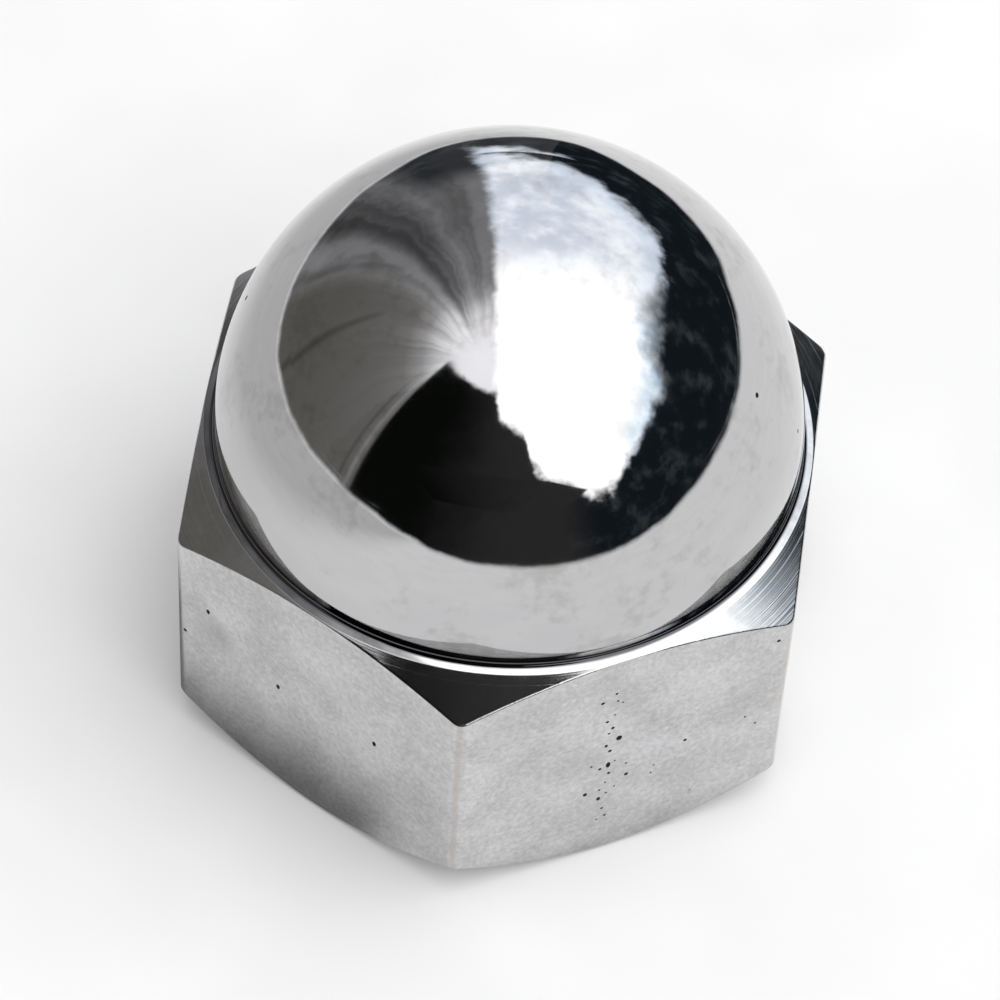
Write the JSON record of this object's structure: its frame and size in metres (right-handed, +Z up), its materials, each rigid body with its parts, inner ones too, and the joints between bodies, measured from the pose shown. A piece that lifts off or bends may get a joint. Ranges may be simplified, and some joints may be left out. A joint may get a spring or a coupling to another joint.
{
  "type": "steering wheel nut",
  "caption": "Bright plated domed cap nut: a hexagon with a half ball top and a blind tapped hole from below, for the end of a steering column.",
  "frame": {"origin": "centre of the bearing face, on the axis of the thread", "axes": "+Z up the thread's axis to the top of the dome, +X square to a pair of flats, +Y through a pair of corners"},
  "size_m": [0.0238, 0.0272, 0.0243],
  "materials": {
    "bright_plate": "polished and bright plated, with fine polishing lines and a few pits"
  },
  "bodies": {
    "root": {"domed_nut": "bright_plate"}
  },
  "joints": []
}
